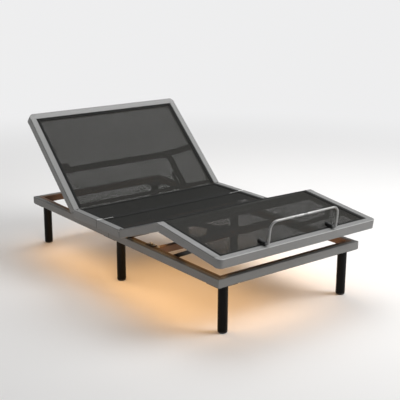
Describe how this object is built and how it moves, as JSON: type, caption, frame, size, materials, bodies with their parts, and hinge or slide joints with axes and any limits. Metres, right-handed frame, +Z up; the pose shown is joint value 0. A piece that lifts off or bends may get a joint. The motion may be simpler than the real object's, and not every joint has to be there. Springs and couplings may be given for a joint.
{
  "type": "adjustable bed base",
  "caption": "Adjustable bed base: a folding deck of woven mesh panels on a steel frame with legs, lift motors, stay links and a mattress retainer bar.",
  "frame": {"origin": "on the floor, under the middle of the stored bed's bounding box", "axes": "+Z up, +Y towards the head end, +X towards the right side of someone lying on it face up with the head at +Y seen from above"},
  "size_m": [1.07, 1.9218, 0.8393],
  "materials": {
    "frame_steel": "satin grey powder coat",
    "deck_steel": "satin grey powder coat with a fine ribbed top",
    "cross_rail": "matt black paint",
    "ledger_brown": "matt bronze brown paint",
    "black_steel": "matt black paint",
    "leg_black": "satin black powder coat",
    "glide_plastic": "moulded",
    "zinc": "zinc plated",
    "motor_plastic": "fine moulded grain",
    "spacer_plastic": "moulded",
    "woven_mesh": "open woven sling mesh",
    "roller_plastic": "turned nylon",
    "push_rod": "ground steel",
    "sleeve_plastic": "moulded",
    "bar_steel": "satin grey metallic coat",
    "amber_led": "diffuser strip, lit amber"
  },
  "bodies": {
    "base": {"base_rail_left_head": "frame_steel", "base_rail_left_foot": "frame_steel", "base_rail_right_head": "frame_steel", "base_rail_right_foot": "frame_steel", "base_rail_head_end": "frame_steel", "base_rail_foot_end": "frame_steel", "ledgers": "ledger_brown", "cross_members": "ledger_brown", "splice_plates": "black_steel", "leg_plates": "black_steel", "leg_left_head": "leg_black", "leg_left_mid": "leg_black", "leg_left_foot": "leg_black", "leg_right_head": "leg_black", "leg_right_mid": "leg_black", "leg_right_foot": "leg_black", "leg_glides": "glide_plastic", "frame_bolts": "zinc", "led_strips": "amber_led", "control_box": "motor_plastic", "motor_brackets": "black_steel", "lift_bearings": "black_steel", "stay_anchors": "black_steel", "seat_rails_head": "deck_steel", "seat_rails_foot": "deck_steel", "seat_cross_rails": "cross_rail", "seat_spacers": "spacer_plastic", "seat_mesh_head": "woven_mesh", "seat_mesh_foot": "woven_mesh", "seam_leaves": "zinc", "hinge_blocks": "deck_steel", "hinge_pins": "zinc"},
    "head": {"head_rail_left": "deck_steel", "head_rail_right": "deck_steel", "head_rail_top": "deck_steel", "head_rail_bottom": "cross_rail", "head_mesh": "woven_mesh", "head_bow": "black_steel", "lift_rib": "black_steel"},
    "lift_shaft": {"torque_tube": "black_steel", "lift_arm": "black_steel"},
    "roller": {"lift_roller": "roller_plastic"},
    "head_drive": {"head_motor": "motor_plastic"},
    "head_rod": {"head_motor_rod": "push_rod"},
    "leg_drive": {"leg_motor": "motor_plastic"},
    "leg_rod": {"leg_motor_rod": "push_rod"},
    "thigh": {"thigh_rails": "deck_steel", "thigh_cross_rails": "cross_rail", "thigh_mesh": "woven_mesh", "knee_ears": "deck_steel"},
    "calf": {"calf_rail_left": "deck_steel", "calf_rail_right": "deck_steel", "foot_rail": "deck_steel", "calf_cross_rail": "cross_rail", "calf_mesh": "woven_mesh", "calf_brackets": "black_steel", "retainer_sleeves": "sleeve_plastic"},
    "stay_link_left": {"stay_left": "black_steel"},
    "stay_link_right": {"stay_right": "black_steel"},
    "retainer": {"retainer_bar": "bar_steel"}
  },
  "joints": [
    {"name": "head_lift", "type": "hinge", "parent": "base", "child": "head", "pos_m": [0, 0.36786, 0.354], "axis": [1, 0, 0], "range_deg": [-43.4, 16.6]},
    {"name": "arm_lift", "type": "hinge", "parent": "base", "child": "lift_shaft", "pos_m": [0, 0.26386, 0.285], "axis": [1, 0, 0], "range_deg": [-25.2, 9.7]},
    {"name": "roller_spin", "type": "hinge", "parent": "lift_shaft", "child": "roller", "pos_m": [0.3, 0.51908, 0.42271], "axis": [1, 0, 0], "continuous": true},
    {"name": "head_motor_tilt", "type": "hinge", "parent": "base", "child": "head_drive", "pos_m": [0.12, -0.27014, 0.264], "axis": [1, 0, 0], "range_deg": [-1.3, 0.6]},
    {"name": "head_motor_stroke", "type": "slide", "parent": "head_drive", "child": "head_rod", "axis": [0, 0.9946, -0.1035], "range_m": [-0.0352, 0.0136]},
    {"name": "leg_lift", "type": "hinge", "parent": "base", "child": "thigh", "pos_m": [0, -0.10414, 0.354], "axis": [-1, 0, 0], "range_deg": [-20, 10]},
    {"name": "knee_bend", "type": "hinge", "parent": "thigh", "child": "calf", "pos_m": [0, -0.45764, 0.46457], "axis": [1, 0, 0], "range_deg": [-27.2, 13.7]},
    {"name": "leg_motor_tilt", "type": "hinge", "parent": "base", "child": "leg_drive", "pos_m": [-0.12, 0.09686, 0.282], "axis": [1, 0, 0], "range_deg": [-1.9, 3.8]},
    {"name": "leg_motor_stroke", "type": "slide", "parent": "leg_drive", "child": "leg_rod", "axis": [0, -0.9999, -0.0154], "range_m": [-0.0275, 0.0139]},
    {"name": "stay_swing_left", "type": "hinge", "parent": "base", "child": "stay_link_left", "pos_m": [-0.425, -0.43914, 0.28], "axis": [-1, 0, 0], "range_deg": [-21.8, 10.9]},
    {"name": "stay_swing_right", "type": "hinge", "parent": "base", "child": "stay_link_right", "pos_m": [0.425, -0.43914, 0.28], "axis": [-1, 0, 0], "range_deg": [-21.8, 10.9]},
    {"name": "retainer_slide", "type": "slide", "parent": "calf", "child": "retainer", "axis": [0, -0.9923, -0.1236], "range_m": [0, 0.035]}
  ],
  "couplings": [
    {"joint": "arm_lift", "follows": "head_lift", "ratio": 0.578},
    {"joint": "head_motor_tilt", "follows": "head_lift", "ratio": 0.0284},
    {"joint": "head_motor_stroke", "follows": "head_lift", "m_per_rad": 0.04591},
    {"joint": "knee_bend", "follows": "leg_lift", "ratio": 1.355},
    {"joint": "leg_motor_tilt", "follows": "leg_lift", "ratio": -0.1829},
    {"joint": "leg_motor_stroke", "follows": "leg_lift", "m_per_rad": 0.07817},
    {"joint": "stay_swing_left", "follows": "leg_lift", "ratio": 1.08},
    {"joint": "stay_swing_right", "follows": "leg_lift", "ratio": 1.08}
  ]
}
